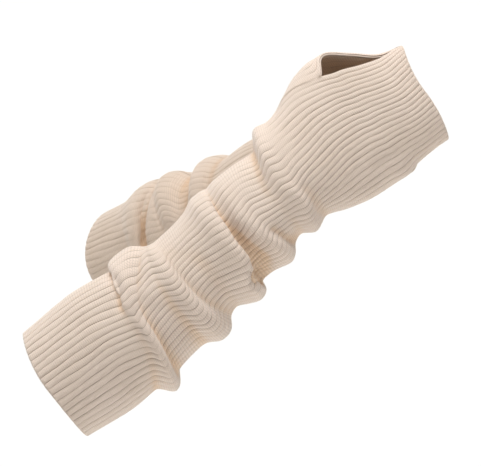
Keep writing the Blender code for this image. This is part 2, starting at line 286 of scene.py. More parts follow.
def knit_grid(table, rows, rib_count, start_turn, end_turn, drop_name, creases, stretched,
              rib_height, seed_phase):
    """Outer and inner grids of one half shell, with rib positions, run along the cloth and the tones that
    set its painted furrow shade and painted bounce tint.

    The outer grid is the smooth form, moved out by its creases, which fade towards the other
    half, and by the rib profile.  The ribs wander sideways by a sum of slow sines, as pulled-up
    knitting does, drop towards the little finger by the table's drop times DROP_SHARE of the
    half's width, and crowd together over the middle of the sleeve.  Each furrow deepens and
    closes by two slow sines of its own, and over a crest and on the stretched lines, where the
    cloth is pulled flat, all are shallower.
    """
    rings, run = smooth_rings(table, rows)
    sides = [COLUMNS.index(name) for name in COLUMNS if name.endswith("_along")]
    reached = rings[:, sides].mean(axis=1)
    crowding = MIDDLE_CROWDING * np.sin(np.pi * (reached - reached[0]) / (reached[-1] - reached[0]))
    ribs = (np.arange(rib_count)[:, None] + np.array(RIB_SAMPLES)[None, :]).ravel()
    ribs = np.append(ribs, rib_count)
    start = np.radians(start_turn(rings))
    end = np.radians(end_turn(rings))
    slack = 1.0 - SMOOTH_END_HOLD * smooth_step(reached, SMOOTH_END_START, SMOOTH_END_FULL)[:, None]
    wander = slack * (0.07 * np.sin(run[:, None] / 11.0 + ribs * 0.9 + seed_phase)
                      + 0.05 * np.sin(run[:, None] / 5.3 + ribs * 1.7 + 2.0 * seed_phase))
    wander *= np.sin(np.pi * ribs / rib_count)[None, :]**0.5
    hang = DROP_SHARE * side_of(rings, drop_name) * np.sin(np.pi * ribs / rib_count)[None, :]
    shares = (ribs[None, :] + wander) / rib_count + hang
    shares = shares + crowding[:, None] * np.sin(2 * np.pi * shares) / (2 * np.pi)
    spread = np.linspace(0.0, 1.0, 241)
    turn = turns_for(rings, start, end, spread)
    turn = np.array([np.interp(shares[k], spread, turn[k]) for k in range(len(rings))])
    form = section_points(rings, turn)
    normals = surface_normals(form)
    side_fade = smooth_step(np.minimum(shares, 1.0 - shares), 0.0, SIDE_FADE)
    relief = crease_relief(form, creases) * side_fade
    form = softened(form + normals * relief[..., None], FOLD_SOFTNESS)
    normals = surface_normals(form)
    bend = bend_along(form, normals)
    line = np.round(ribs) + seed_phase
    unevenness = (0.11 * np.sin(run[:, None] / 8.0 + 2.4 * line)
                  + 0.09 * np.sin(run[:, None] / 19.0 - 1.7 * line)
                  + 0.07 * np.sin(5.1 * line)[None, :])
    furrow = (FURROW_DEPTH + unevenness) * (1.0 - CREST_FLATTENING * smooth_step(bend, 0.1, 0.3))
    furrow *= 1.0 - np.minimum(crease_relief(form, stretched), 0.9)
    height = rib_height * (1.0 - furrow * (1.0 - rib_profile(ribs % 1.0))[None, :])
    outer = form + normals * height[..., None]
    pick = np.isin(ribs % 1.0, (0.0, 0.5))
    inner = form[:, pick] - normals[:, pick] * KNIT_WALL
    # How far each point lies sunk into a fold; this sets the painted warm bounce tint.
    sunk = ((softened(form, FOLD_REACH) - form) * normals).sum(axis=-1)
    tone = np.stack([furrow, smooth_step(sunk, 0.2, 2.2)], axis=-1)
    return outer, inner, ribs, pick, run, tone


def shell_mesh(name, outer, inner, ribs, pick, run, tone, first_rib, sleeve):
    """Make a closed half shell from its two grids, with a UV map in ribs and courses.

    Its point colour attribute keeps how open the furrows are, which sets the painted furrow shade,
    and how deep the cloth folds in, which sets the painted warm bounce tint; the inner face is
    counted as fully folded in, so it takes the whole painted tint.
    """
    rows, across = outer.shape[:2]
    inner_across = inner.shape[1]
    points = np.concatenate([outer.reshape(-1, 3), inner.reshape(-1, 3)])
    outer_index = np.arange(rows * across).reshape(rows, across)
    inner_index = rows * across + np.arange(rows * inner_across).reshape(rows, inner_across)

    def skin(index, flip):
        quads = np.stack([index[:-1, :-1], index[:-1, 1:], index[1:, 1:], index[1:, :-1]], axis=-1)
        quads = quads.reshape(-1, 4)
        return quads[:, ::-1] if flip else quads

    sides = [np.stack([outer_index[:-1, edge], outer_index[1:, edge],
                       inner_index[1:, edge], inner_index[:-1, edge]], axis=-1) for edge in (0, -1)]
    quads = np.concatenate([skin(outer_index, False), skin(inner_index, True),
                            sides[0], sides[1][:, ::-1]])
    mouths = []
    columns = np.flatnonzero(pick)
    for row in (0, -1):
        for part in range(len(columns) - 1):
            rim = list(outer_index[row, columns[part]:columns[part + 1] + 1])
            rim += [inner_index[row, part + 1], inner_index[row, part]]
            mouths.append(rim[::-1] if row == 0 else rim)
    faces = quads.tolist() + [[int(v) for v in rim] for rim in mouths]
    mesh = bpy.data.meshes.new(name)
    mesh.from_pydata(place_points(points, sleeve).tolist(), [], faces)
    mesh.update()
    u_outer = np.broadcast_to(ribs + first_rib, (rows, across))
    v_outer = np.broadcast_to((run / COURSE_HEIGHT)[:, None], (rows, across))
    u_inner = np.broadcast_to(ribs[pick] + first_rib, (rows, inner_across))
    v_inner = np.broadcast_to((run / COURSE_HEIGHT)[:, None], (rows, inner_across))
    u = np.concatenate([u_outer.ravel(), u_inner.ravel()])
    v = np.concatenate([v_outer.ravel(), v_inner.ravel()])
    loops = np.zeros(len(mesh.loops), dtype=np.int32)
    mesh.loops.foreach_get("vertex_index", loops)
    uv = mesh.uv_layers.new(name="rib_and_course")
    uv.data.foreach_set("uv", np.stack([u[loops], v[loops]], axis=-1).ravel())
    # The inner face keeps its furrow value and takes the full painted bounce tint, as if lit by light
    # bounced inside the tube.
    inner_tone = tone[:, pick] * (1.0, 0.0) + (0.0, 1.0)
    tones = np.concatenate([tone.reshape(-1, 2), inner_tone.reshape(-1, 2)])
    colours = np.concatenate([tones, np.zeros((len(tones), 1)), np.ones((len(tones), 1))], axis=1)
    painted_light_tone = mesh.color_attributes.new("painted_light_tone", "FLOAT_COLOR", "POINT")
    painted_light_tone.data.foreach_set("color", colours.ravel())
    mesh.polygons.foreach_set("use_smooth", np.ones(len(mesh.polygons), dtype=bool))
    piece = bpy.data.objects.new(name, mesh)
    bpy.context.scene.collection.objects.link(piece)
    return piece


def linear(hex_colour):
    """A linear colour from an sRGB hex value such as "#e8dccd"."""
    channels = [int(hex_colour[k:k + 2], 16) / 255 for k in (1, 3, 5)]
    bent = [c / 12.92 if c <= 0.04045 else ((c + 0.055) / 1.055)**2.4 for c in channels]
    return (*bent, 1.0)


def add_node(tree, kind, settings=None, inputs=None):
    """Add one shader node, with its settings, and with values or links on its inputs."""
    node = tree.nodes.new(kind)
    for key, value in (settings or {}).items():
        setattr(node, key, value)
    for key, value in (inputs or {}).items():
        if isinstance(value, bpy.types.NodeSocket):
            tree.links.new(value, node.inputs[key])
        else:
            node.inputs[key].default_value = value
    return node


FIBRE_GRAINS_PER_METRE = 1400.0
TONE_PATCHES_PER_METRE = 38.0
STITCH_SLANT = 1.1
PAINTED_BOUNCE_SHARE = 0.6


def rib_wool(name, wool_light, wool_deep, furrow_shade, painted_fold_bounce, furrow_paint):
    """Fine merino rib knit: matt, hairy yarn with a soft sheen along the edges of each rib.

    The stitch is drawn from the UV map.  Each wale holds a column of V shapes: the yarn's height
    is a cosine of (course - STITCH_SLANT x distance from the wale's middle), inside a parabola
    over each leg of the V.  Wales are drawn 1.7 mm wide, a little coarser than the real 1.2 mm,
    and fibres as grains of 0.7 mm, so that both show.  The cream varies in patches of 26 mm.
    The furrows and the gaps between loops get painted shade, and deep folds and the inner face a
    painted warm tint that stands in for light bounced inside them.
    """
    material = bpy.data.materials.new(name)
    material.use_nodes = True
    tree = material.node_tree
    shader = tree.nodes["Principled BSDF"]
    place = add_node(tree, "ShaderNodeTexCoord")
    uv = add_node(tree, "ShaderNodeUVMap", {"uv_map": "rib_and_course"})
    split = add_node(tree, "ShaderNodeSeparateXYZ", None, {"Vector": uv.outputs["UV"]})

    def sum_of(operation, first, second=0.0, third=0.0):
        node = add_node(tree, "ShaderNodeMath", {"operation": operation},
                        {0: first, 1: second, 2: third})
        return node.outputs[0]

    ribs, courses = split.outputs["X"], split.outputs["Y"]
    in_rib = sum_of("FRACT", ribs)
    from_middle = sum_of("ABSOLUTE", sum_of("SUBTRACT", in_rib, 0.5))
    in_wale = sum_of("FRACT", sum_of("MULTIPLY", ribs, WALES_PER_RIB))
    from_wale = sum_of("ABSOLUTE", sum_of("SUBTRACT", in_wale, 0.5))
    phase = sum_of("SUBTRACT", courses, sum_of("MULTIPLY", from_wale, STITCH_SLANT))
    loop = sum_of("MULTIPLY_ADD", sum_of("COSINE", sum_of("MULTIPLY", phase, 2 * np.pi)), 0.5, 0.5)
    leg = sum_of("MULTIPLY_ADD", from_wale, 4.0, -1.0)
    across_leg = sum_of("SUBTRACT", 1.0, sum_of("MULTIPLY", leg, leg))
    stitch = sum_of("MULTIPLY", across_leg, sum_of("MULTIPLY_ADD", loop, 0.6, 0.4))

    fibre = add_node(tree, "ShaderNodeTexNoise", {"noise_dimensions": "3D"},
                     {"Vector": place.outputs["Object"], "Scale": FIBRE_GRAINS_PER_METRE,
                      "Detail": 3.0, "Roughness": 0.65})
    patches = add_node(tree, "ShaderNodeTexNoise", None,
                       {"Vector": place.outputs["Object"], "Scale": TONE_PATCHES_PER_METRE,
                        "Detail": 2.0})
    height = sum_of("MULTIPLY_ADD", fibre.outputs["Fac"], 0.55, stitch)
    bump = add_node(tree, "ShaderNodeBump", None,
                    {"Height": height, "Strength": 0.42, "Distance": 0.0007})

    cream = add_node(tree, "ShaderNodeMix", {"data_type": "RGBA"},
                     {"Factor": patches.outputs["Fac"], 6: linear(wool_deep), 7: linear(wool_light)})
    tone = add_node(tree, "ShaderNodeVertexColor", {"layer_name": "painted_light_tone"})
    folds = add_node(tree, "ShaderNodeSeparateColor", None, {"Color": tone.outputs["Color"]})
    # Painted shade: the edges of each rib, where the furrows lie, and the gaps between loops are mixed
    # towards the furrow shade colour.
    edge = add_node(tree, "ShaderNodeMapRange", {"interpolation_type": "SMOOTHSTEP"},
                    {"Value": from_middle, "From Min": 0.44, "From Max": 0.5, "To Min": 0.0,
                     "To Max": furrow_paint})
    gap = add_node(tree, "ShaderNodeMapRange", None,
                   {"Value": stitch, "From Min": 0.0, "From Max": 0.75, "To Min": 0.42, "To Max": 0.0})
    open_edge = sum_of("MULTIPLY", edge.outputs[0], folds.outputs["Red"])
    shade = sum_of("MAXIMUM", open_edge, gap.outputs[0])
    # Painted warm bounce light: deep folds and the inner face are tinted towards the fold colour, in place
    # of light bounced inside them.
    bounce_share = sum_of("MULTIPLY", folds.outputs["Green"], PAINTED_BOUNCE_SHARE)
    bounce_tinted = add_node(tree, "ShaderNodeMix", {"data_type": "RGBA"},
                      {"Factor": bounce_share, 6: cream.outputs[2], 7: linear(painted_fold_bounce)})
    coloured = add_node(tree, "ShaderNodeMix", {"data_type": "RGBA"},
                        {"Factor": shade, 6: bounce_tinted.outputs[2], 7: linear(furrow_shade)})
    tree.links.new(coloured.outputs[2], shader.inputs["Base Color"])
    tree.links.new(bump.outputs["Normal"], shader.inputs["Normal"])
    shader.inputs["Roughness"].default_value = 0.88
    shader.inputs["Specular IOR Level"].default_value = 0.25
    shader.inputs["Sheen Weight"].default_value = 0.35
    shader.inputs["Sheen Roughness"].default_value = 0.45
    return material


def front_seam(rings):
    """Turn at which the front half leaves the thumb-side seam."""
    return rings[:, COLUMNS.index("front_seam_turn")]


def back_seam(rings):
    """Turn at which the back half comes round to the thumb-side seam."""
    return 360.0 + rings[:, COLUMNS.index("back_seam_turn")]


def finger_side(rings):
    """Turn of the little-finger side, where the two halves of the tube run into each other."""
    return np.full(len(rings), 180.0)


NEAR_FRONT_CREASES = (
    (((84, 44), (86, 37), (85.5, 31), (83, 25), (78, 20), (75.5, 15), (76, 8)), 2.4, 3.0, -2.6),
    (((90, 43), (92, 31), (89, 21), (83, 15), (81, 6)), 5.0, 6.5, 1.5),
    (((102, 39), (97, 33), (94.5, 28), (98, 21), (103, 15)), 2.4, 2.4, -0.7),
    (((111, 36), (106, 31), (103, 24), (106, 17)), 2.6, 2.6, -0.7),
    (((119, 44), (113, 30), (103, 14), (92, 2)), 9.0, 11.0, 3.4),
    (((83, 2), (81, -14), (79, -28), (76.5, -40), (72, -56)), 2.8, 2.0, 1.8),
    (((87, 0), (86, -14), (83.5, -28), (80, -42), (76, -56)), 2.0, 4.5, -1.5),
    (((190, 24), (188, 12), (190, 2), (194, -12), (199.5, -26), (203, -34)), 5.0, 6.5, 2.4),
    (((178, 12), (179, 0), (181, -10), (184, -20), (187, -31)), 5.0, 5.5, -2.4),
    (((200, -6), (203, -14), (206, -23), (211, -31)), 3.2, 6.0, -3.4),
    (((174, -16), (179, -26), (182, -34)), 6.0, 7.0, -1.6),
    (((174, -24), (169, -31), (165, -37)), 5.0, 6.0, -7.2),
    (((172, -25), (165, -29), (162, -36), (164, -43)), 2.0, 2.2, 1.6),
    (((226, 50), (225, 44), (220, 35), (216, 24), (214, 15), (215, 6)), 6.0, 4.5, -1.4),
    (((229, 14), (231, 5), (233, -4), (232, -12), (229, -20), (228, -28)), 5.0, 4.0, 1.5),
    (((238, 6), (239, -3), (239, -11), (237, -19), (236, -28)), 3.4, 6.0, -1.3),
    (((290, -19), (298, -21), (306, -21), (318, -24)), 4.0, 4.0, -1.3),
    (((300, -31), (307, -37), (309, -44)), 6.0, 6.0, 1.1),
    (((30, 30), (58, 22), (76, 20)), 7.0, 7.0, -0.8),
    (((128, 30), (140, 12), (150, -6)), 8.0, 8.0, -1.0),
)

NEAR_FRONT_STRETCHED = (
    (((262, 66), (278, 68), (292, 66), (304, 60)), 12.0, 12.0, 0.8),
    (((238, 60), (243, 48), (246, 34), (247, 20)), 7.0, 9.0, 0.7),
    (((200, 44), (203, 32), (204, 20)), 8.0, 9.0, 0.55),
    (((118, 34), (130, 28), (150, 34), (165, 40)), 9.0, 9.0, 0.5),
    (((92, 46), (95, 40), (93, 32)), 6.0, 7.0, 0.4),
)

# Colours: light and deep cream, painted furrow shade, painted warm bounce tint of the folds.
near_wool = rib_wool("near_merino_rib", "#f6e5d7", "#eddbca", "#6f503b", "#f0cca4", 0.95)
near_frame = near_sleeve()
near_outer_grids = knit_grid(NEAR_RINGS, NEAR_ROWS, NEAR_RIBS, front_seam, finger_side, "front_drop",
                             NEAR_FRONT_CREASES, NEAR_FRONT_STRETCHED, RIB_HEIGHT, 0.4)
near_outer = shell_mesh("near_outer_knit", *near_outer_grids, 0, near_frame)
near_outer.data.materials.append(near_wool)
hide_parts("near_outer_half")
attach(near_outer, "root")


# Near warmer, palm half.
# The other half of the same tube, knitted in one with the first along the little-finger side.
# It wraps over the thumb side, where it meets the first half again at the linked seam.

NEAR_BACK_CREASES = (
    (((40, 36), (52, 18), (56, -4), (62, -28)), 5.0, 7.0, -2.4),
    (((96, 40), (90, 20), (96, 4)), 5.0, 4.0, -2.6),
    (((112, 28), (108, 12), (114, -6), (104, -24)), 5.0, 3.4, 3.0),
    (((121, 20), (118, 4), (124, -14)), 3.4, 6.0, -3.0),
    (((138, 34), (146, 18), (140, 2), (132, -12)), 4.0, 6.0, -2.6),
    (((160, -2), (154, -16), (160, -32)), 4.0, 5.0, -2.4),
    (((168, 30), (178, 16), (192, 8)), 5.0, 5.0, 2.6),
    (((188, 34), (184, 10), (192, -12)), 4.0, 7.0, -3.0),
    (((206, 18), (214, -2), (206, -20)), 6.0, 3.4, 2.6),
    (((226, 42), (220, 22), (228, 2)), 5.0, 4.0, -2.8),
    (((244, 10), (252, -10), (264, -22)), 4.5, 4.5, -2.0),
    (((266, 48), (282, 30), (302, 20)), 6.0, 6.0, -1.6),
    (((288, -4), (306, -14), (326, -16)), 5.0, 5.0, -1.4),
)
NEAR_BACK_STRETCHED = (
    (((264, 62), (282, 66), (300, 62)), 12.0, 12.0, 0.7),
    (((240, 40), (246, 20), (244, 0)), 8.0, 8.0, 0.5),
    (((94, 40), (96, 16), (90, -10)), 8.0, 8.0, 0.5),
)

near_palm_grids = knit_grid(NEAR_RINGS, NEAR_ROWS, NEAR_RIBS, finger_side, back_seam, "back_drop",
                            NEAR_BACK_CREASES, NEAR_BACK_STRETCHED, RIB_HEIGHT, 1.9)
near_palm = shell_mesh("near_palm_knit", *near_palm_grids, NEAR_RIBS, near_frame)
near_palm.data.materials.append(near_wool)
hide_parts("near_palm_half")
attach(near_palm, "root")


# Near warmer, cast-off edges.
# Both mouths end in a chain of cast-off loops, worked round the tube in the same wool.
# It stands a little beyond the last course and rises and falls with the ribs.

YARN_RADIUS = 0.55
EDGE_TWIST_RADIUS = 0.5
EDGE_TWIST_PITCH = 3.0
EDGE_STEP = 0.5


def even_path(points, step, *carried):
    """The points at equal steps of length along their path, with other rows carried along."""
    run = np.concatenate([[0.0], np.cumsum(np.linalg.norm(np.diff(points, axis=0), axis=1))])
    wanted = np.linspace(0.0, run[-1], max(int(run[-1] / step), 3))
    rows = [np.stack([np.interp(wanted, run, part[:, k]) for k in range(3)], axis=1)
            for part in (points, *carried)]
    return wanted, *rows


def yarn_skin(path, side, radius, around=6):
    """Grid of a round strand: circles square to the path, with one end of each on its side."""
    tangent = unit(np.gradient(path, axis=0))
    first = unit(side - (side * tangent).sum(axis=-1, keepdims=True) * tangent)
    second = np.cross(tangent, first)
    angle = np.linspace(0.0, 2 * np.pi, around, endpoint=False)
    return path[:, None] + radius * (first[:, None] * np.cos(angle)[:, None]
                                     + second[:, None] * np.sin(angle)[:, None])


def strand_mesh(name, skins, closed, sleeve):
    """Make one piece of several strands, each closed on itself or capped at both ends."""
    points, faces = [], []
    for skin in skins:
        rows, around = skin.shape[:2]
        index = len(points) + np.arange(rows * around).reshape(rows, around)
        points += skin.reshape(-1, 3).tolist()
        ring = np.concatenate([index, index[:1]]) if closed else index
        wrapped = np.concatenate([ring, ring[:, :1]], axis=1)
        quads = np.stack([wrapped[:-1, :-1], wrapped[:-1, 1:], wrapped[1:, 1:], wrapped[1:, :-1]], axis=-1)
        faces += quads.reshape(-1, 4).tolist()
        if not closed:
            faces += [index[0, ::-1].tolist(), index[-1].tolist()]
    mesh = bpy.data.meshes.new(name)
    mesh.from_pydata(place_points(np.array(points), sleeve).tolist(), [], faces)
    mesh.update()
    mesh.polygons.foreach_set("use_smooth", np.ones(len(mesh.polygons), dtype=bool))
    piece = bpy.data.objects.new(name, mesh)
    bpy.context.scene.collection.objects.link(piece)
    return piece


def rim_of(grids, row):
    """Points in the middle of the wall along one end of a half, and the wall's outward side."""
    outer, inner, _, pick = grids[:4]
    return (outer[row, pick] + inner[row]) / 2, unit(outer[row, pick] - inner[row])


def cast_off_edge(name, halves, row, sleeve):
    """Two strands twisted round the middle of the wall, along a mouth's whole rim.

    Each strand's middle circles the rim by an angle of 2 pi times the run over the twist's pitch.
    """
    rims = [rim_of(grids, row) for grids in halves]
    middle = np.concatenate([rims[0][0], rims[1][0][1:]])
    side = np.concatenate([rims[0][1], rims[1][1][1:]])
    run, middle, side = even_path(middle, EDGE_STEP, side)
    twists = round(run[-1] / EDGE_TWIST_PITCH)
    middle, side, run = middle[:-1], side[:-1], run[:-1] / run[-1]
    across = unit(np.cross(np.gradient(middle, axis=0), side))
    skins = []
    for phase in (0.0, np.pi):
        angle = (2 * np.pi * twists * run + phase)[:, None]
        path = middle + EDGE_TWIST_RADIUS * (side * np.cos(angle) + across * np.sin(angle))
        skins.append(yarn_skin(path, side, YARN_RADIUS))
    return strand_mesh(name, skins, True, sleeve)


def edge_wool(name, colour):
    """The same merino as one plain strand: matt and hairy, with a fine fibre grain."""
    material = bpy.data.materials.new(name)
    material.use_nodes = True
    tree = material.node_tree
    shader = tree.nodes["Principled BSDF"]
    place = add_node(tree, "ShaderNodeTexCoord")
    fibre = add_node(tree, "ShaderNodeTexNoise", None,
                     {"Vector": place.outputs["Object"], "Scale": FIBRE_GRAINS_PER_METRE,
                      "Detail": 3.0})
    bump = add_node(tree, "ShaderNodeBump", None,
                    {"Height": fibre.outputs["Fac"], "Strength": 0.7, "Distance": 0.0004})
    tree.links.new(bump.outputs["Normal"], shader.inputs["Normal"])
    shader.inputs["Base Color"].default_value = linear(colour)
    shader.inputs["Roughness"].default_value = 0.88
    shader.inputs["Specular IOR Level"].default_value = 0.25
    shader.inputs["Sheen Weight"].default_value = 0.35
    shader.inputs["Sheen Roughness"].default_value = 0.45
    return material


near_yarn = edge_wool("near_merino_strand", "#dccbbc")
near_halves = (near_outer_grids, near_palm_grids)
near_edges = [cast_off_edge("near_elbow_cast_off", near_halves, 0, near_frame),
              cast_off_edge("near_hand_cast_off", near_halves, -1, near_frame)]
for near_edge in near_edges:
    near_edge.data.materials.append(near_yarn)
    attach(near_edge, "root")


# Near warmer, thumb-side seam and thumb hole.
# The tube is linked along the thumb side with a fine zigzag, left open for the thumb and tacked
# at both ends of the hole, whose lips are cast off with a thin rolled strand.

SEAM_PITCH = 2.6
SEAM_STEP = 0.4
SEAM_HALF_WIDTH = 1.0
SEAM_RADIUS = 0.32
LIP_RADIUS = 0.6
TACK_ROWS = 5
TACK_PITCH = 0.9
TACK_HALF_WIDTH = 2.0


def hole_rows(table, rows):
    """First and last rows at which the two halves part for the thumb."""
    rings = smooth_rings(table, rows)[0]
    apart = np.abs(front_seam(rings) + 360.0 - back_seam(rings)) > 1.5
    return np.flatnonzero(apart)[[0, -1]]


def seam_line(halves, first, last):
    """Middle of the seam between two rows, the direction across it and the outward side."""
    front = halves[0][0][first:last, 0]
    back = halves[1][0][first:last, -1]
    outward = unit(front - halves[0][1][first:last, 0])
    along = unit(np.gradient((front + back) / 2, axis=0))
    return (front + back) / 2, np.cross(outward, along), outward


def zigzag_skin(halves, first, last, pitch, half_width, radius):
    """A strand that crosses the seam from side to side by a cosine of the run over the pitch."""
    line, across, outward = seam_line(halves, first, last)
    run, middle, across, outward = even_path(line, SEAM_STEP, across, outward)
    swing = np.cos(2 * np.pi * run / pitch)[:, None]
    lift = 0.35 + 0.25 * np.sin(4 * np.pi * run / pitch)[:, None]
    return yarn_skin(middle + across * half_width * swing + outward * lift, outward, radius, 5)


def thumb_seam(name, halves, table, sleeve):
    """The linked seam on either side of the thumb hole, with a short dense tack at each end of it."""
    rows = len(halves[0][0])
    first, last = hole_rows(table, rows)
    skins = [zigzag_skin(halves, 1, first, SEAM_PITCH, SEAM_HALF_WIDTH, SEAM_RADIUS),
             zigzag_skin(halves, last, rows - 1, SEAM_PITCH, SEAM_HALF_WIDTH, SEAM_RADIUS)]
    for start, end in ((first - TACK_ROWS, first), (last, last + TACK_ROWS)):
        skins.append(zigzag_skin(halves, start, end, TACK_PITCH, TACK_HALF_WIDTH, SEAM_RADIUS))
    return strand_mesh(name, skins, False, sleeve)


def thumb_lips(name, halves, table, sleeve):
    """One thin rolled strand along the middle of the wall at each lip of the thumb hole."""
    first, last = hole_rows(table, len(halves[0][0]))
    skins = []
    for grids, edge in zip(halves, (0, -1)):
        outer, inner = grids[0][first - 1:last + 2, edge], grids[1][first - 1:last + 2, edge]
        _, path, side = even_path((outer + inner) / 2, EDGE_STEP, unit(outer - inner))
        skins.append(yarn_skin(path, side, LIP_RADIUS))
    return strand_mesh(name, skins, False, sleeve)


near_seam = thumb_seam("near_thumb_seam", near_halves, NEAR_RINGS, near_frame)
near_lips = thumb_lips("near_thumb_lips", near_halves, NEAR_RINGS, near_frame)
for near_trim in (near_seam, near_lips):
    near_trim.data.materials.append(near_yarn)
    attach(near_trim, "root")


# Far warmer, palm half.
# The second sleeve of the pair, of the same rib knit, seen behind the first.
# Its wide end lies further back, and the end with the thumb hole comes forward to the near one.

FAR_RINGS = {
    "elbow_edge":   (8.0, 40.4, -9.0, 34.0, -16.0, -44.0, 0.0, 33.0, 0, 0, 0, 0),
    "forearm":      (37.0, 40.6, 24.0, 35.0, 14.0, -45.5, 26.0, 34.0, 0, 0, 0.1, 0),
    "first_foot":   (47.0, 42.8, 45.0, 35.5, 34.0, -47.0, 43.0, 35.0, 0, 0, 0.5, 0.2),
    "first_crest":  (66.0, 47.2, 59.0, 41.0, 50.0, -52.0, 58.0, 39.0, 0, 0, 0.9, 0.7),
    "first_lip":    (77.0, 46.2, 66.0, 39.6, 58.0, -50.0, 66.0, 37.5, 0, 0, 1.1, 0.8),
    "first_tuck":   (82.0, 43.8, 67.0, 34.0, 61.0, -44.0, 69.0, 33.5, 0, 0, 0.6, 0.3),
    "second_crest": (83.5, 43.4, 78.0, 37.5, 74.0, -47.5, 80.0, 37.0, 0, 0, 0.2, -0.3),
    "second_lip":   (85.0, 43.2, 91.0, 37.6, 90.0, -46.0, 90.0, 35.5, 0, 0, 0.6, -0.4),
    "second_tuck":  (86.5, 43.4, 94.0, 35.4, 95.0, -40.5, 93.0, 31.5, 0, 0, 1, 0.2),
    "third_crest":  (93.0, 47.2, 103.0, 37.0, 108.0, -45.0, 106.0, 36.5, 0, 0, 0.2, 0.6),
    "third_lip":    (107.5, 43.6, 111.0, 36.6, 118.0, -43.5, 115.0, 35.0, 0, 0, 0.6, 0.7),
    "third_tuck":   (120.0, 33.0, 116.0, 33.4, 122.0, -37.5, 119.0, 30.5, 0, 0, 1, 0.3),
    "fourth_foot":  (129.5, 32.8, 122.0, 30.5, 131.0, -36.5, 128.0, 30.0, 0, 0, 0.8, 0),
    "fourth_crest": (139.5, 43.8, 138.0, 36.5, 145.0, -41.0, 141.0, 34.5, 0, 0, 0.1, -0.4),
    "fourth_lip":   (151.0, 41.4, 149.0, 35.0, 155.0, -38.5, 151.0, 32.5, 0, 0, 0.3, -0.4),
    "fourth_tuck":  (160.5, 36.4, 153.0, 30.5, 160.0, -33.5, 156.0, 29.0, 0, 0, 0.5, 0.1),
    "wrist":        (195.0, 40.4, 190.0, 28.5, 192.0, -29.0, 190.0, 27.0, 0, 0, 0.2, 0.2),
    "wrist_tuck":   (226.0, 38.0, 222.0, 26.5, 224.0, -26.5, 222.0, 26.0, -4, -4, -0.2, 0.1),
    "thumb_base":   (262.0, 46.0, 258.0, 25.0, 252.0, -33.0, 258.0, 25.0, -18, -18, -0.1, 0),
    "hole_corner":  (288.0, 52.0, 287.0, 23.5, 280.0, -38.0, 287.0, 23.5, -38, -38, 0, 0),
    "hole_wide":    (300.0, 52.0, 299.0, 23.0, 292.0, -38.5, 299.0, 23.0, -8, -46, 0, 0),
    "hole_middle":  (315.0, 47.5, 313.0, 22.5, 306.0, -38.0, 313.0, 22.5, -9, -42, 0, 0),
    "hole_end":     (330.0, 41.5, 327.0, 21.8, 322.0, -37.5, 326.0, 21.8, -12, -12, 0, 0),
    "hand_edge":    (345.0, 38.4, 342.0, 20.8, 334.0, -38.0, 341.0, 20.8, 0, 0, 0, 0),
}
FAR_STRETCHED = (
    (((64, 40), (68, 20), (63, 0), (58, -24)), 6.0, 6.0, 0.6),
    (((88, 38), (86, 22), (80, 8)), 6.0, 6.0, 0.8),
    (((106, 40), (112, 20), (116, 0)), 8.0, 8.0, 0.5),
    (((140, 38), (146, 18), (150, -6)), 8.0, 8.0, 0.5),
)
FAR_RIBS = 24
FAR_ROWS = 450
FAR_RIB_HEIGHT = 0.6
FAR_ELBOW_CENTRE = (-102.0, -20.0, 330.0)
FAR_HAND_CENTRE = (125.0, 86.0, 97.0)
FAR_FRONT_CREASES = (
    (((88, 64), (86, 54), (85, 45), (83.5, 38), (81.5, 33), (79, 27), (75, 19), (70, 10), (66, 0),
      (64, -12)), 2.2, 2.8, -3.4),
    (((69, 38), (69, 21), (62, 5)), 5.0, 4.0, 1.0),
    (((96, 2), (90, -4), (86, -12)), 2.4, 3.0, -1.6),
    (((100, 8), (109, -6), (118, -22)), 4.0, 6.0, -1.5),
)


def far_sleeve():
    """Start, along, thumbward and depth directions of the far sleeve."""
    axes = np.array([RIGHT, UP, AWAY])
    start = np.array(FAR_ELBOW_CENTRE) @ axes
    along = unit(np.array(FAR_HAND_CENTRE) @ axes - start)
    thumbward = unit(np.cross(AWAY, along))
    thumbward = thumbward * np.sign(thumbward[2])
    across = unit(np.cross(along, thumbward))
    return start, along, thumbward, across * np.sign(across @ AWAY)


# Colours: light and deep cream, painted furrow shade, painted warm bounce tint of the folds.
far_wool = rib_wool("far_merino_rib", "#ecdaca", "#e0ccb8", "#846850", "#dcb388", 0.6)
far_frame = far_sleeve()
far_palm_grids = knit_grid(FAR_RINGS, FAR_ROWS, FAR_RIBS, front_seam, finger_side, "front_drop",
                           FAR_FRONT_CREASES, FAR_STRETCHED, FAR_RIB_HEIGHT, 3.1)
far_palm = shell_mesh("far_palm_knit", *far_palm_grids, 0, far_frame)
far_palm.data.materials.append(far_wool)
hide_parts("far_palm_half")
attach(far_palm, "root")


# Far warmer, back-of-hand half.
# The side of the second sleeve that faces away from the front view.
# Its rolls are like those in front, and it has no seam along the little finger.

FAR_BACK_CREASES = (
    (((86, 50), (96, 42), (106, 32), (116, 20)), 10.0, 10.0, -5.0),
    (((30, 30), (44, 16), (50, -6), (46, -26)), 5.0, 7.0, -2.6),
    (((64, 36), (70, 18), (62, 2)), 4.0, 5.0, -2.8),
    (((82, 20), (76, 4), (84, -16)), 5.0, 4.0, 2.6),
    (((104, 24), (96, 10), (106, -6)), 5.0, 3.4, 3.0),
    (((120, 6), (112, -10), (122, -28)), 4.0, 5.0, -2.8),
    (((128, 18), (140, 10), (136, -6)), 5.0, 5.0, 2.4),
    (((156, 24), (148, 4), (156, -16)), 4.0, 6.0, -2.6),
    (((188, 26), (180, 6), (188, -12)), 5.0, 5.0, -2.0),
    (((206, 18), (212, 0), (204, -14)), 5.0, 5.0, 1.4),
    (((226, 14), (236, -4), (252, -10)), 5.0, 5.0, -1.8),
    (((262, 34), (278, 22), (298, 16)), 6.0, 6.0, -1.4),
)

